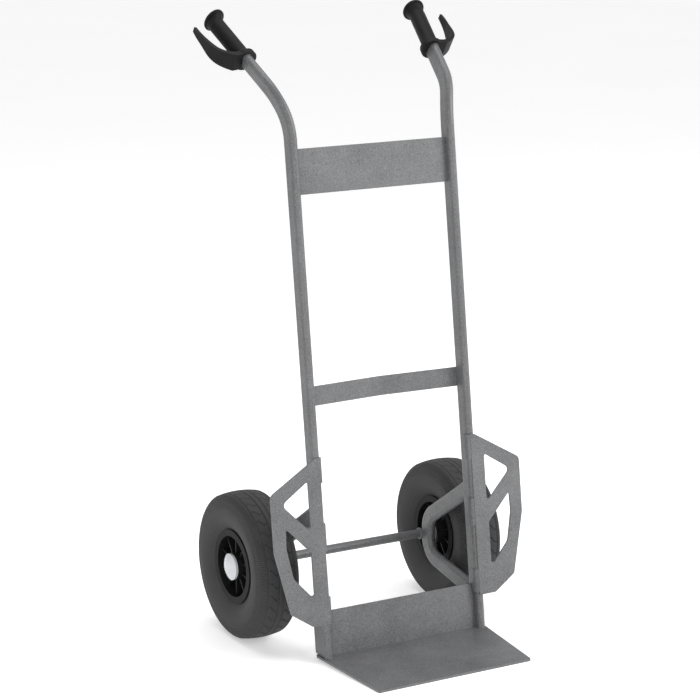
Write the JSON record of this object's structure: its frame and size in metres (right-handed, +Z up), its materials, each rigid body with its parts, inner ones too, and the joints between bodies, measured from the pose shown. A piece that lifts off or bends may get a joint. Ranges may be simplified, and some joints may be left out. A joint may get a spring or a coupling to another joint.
{
  "type": "hand truck",
  "caption": "Two-wheel hand truck with a flat-oval tube frame, trapezoid toe plate, wheel guards, pneumatic wheels and hand grips with knuckle guards.",
  "frame": {"origin": "on the ground at the middle of the whole object's footprint box", "axes": "+Z up, +X towards the right wheel, the toe plate points to -Y and the handles lean towards +Y"},
  "size_m": [0.498, 0.4924, 1.0863],
  "materials": {
    "frame_grey": "fine-textured satin powder coat",
    "tyre_black": "matt rubber",
    "rim_black": "satin moulded plastic",
    "grip_black": "satin moulded plastic",
    "cap_white": "glossy",
    "bearing_grey": "smooth nylon",
    "axle_steel": "plain",
    "axle_paint": "fine-textured satin powder coat"
  },
  "bodies": {
    "frame": {"toe_plate": "frame_grey", "upper_cross_plate": "frame_grey", "lower_cross_plate": "frame_grey", "middle_crossbar": "frame_grey", "axle_welds": "frame_grey", "cross_axle": "axle_paint", "left_stile": "frame_grey", "left_wheel_guard": "frame_grey", "left_axle_bracket": "frame_grey", "left_axle_spacer": "axle_steel", "left_retaining_washer": "axle_steel", "left_grip": "grip_black", "right_stile": "frame_grey", "right_wheel_guard": "frame_grey", "right_axle_bracket": "frame_grey", "right_axle_spacer": "axle_steel", "right_retaining_washer": "axle_steel", "right_grip": "grip_black"},
    "left_wheel": {"left_tyre": "tyre_black", "left_rim": "rim_black", "left_bearings": "bearing_grey", "left_hub_cap": "cap_white"},
    "right_wheel": {"right_tyre": "tyre_black", "right_rim": "rim_black", "right_bearings": "bearing_grey", "right_hub_cap": "cap_white"}
  },
  "joints": [
    {"name": "left_wheel_spin", "type": "hinge", "parent": "frame", "child": "left_wheel", "pos_m": [-0.20635, 0.11292, 0.13], "axis": [1, 0, 0], "continuous": true},
    {"name": "right_wheel_spin", "type": "hinge", "parent": "frame", "child": "right_wheel", "pos_m": [0.20635, 0.11292, 0.13], "axis": [1, 0, 0], "continuous": true}
  ]
}
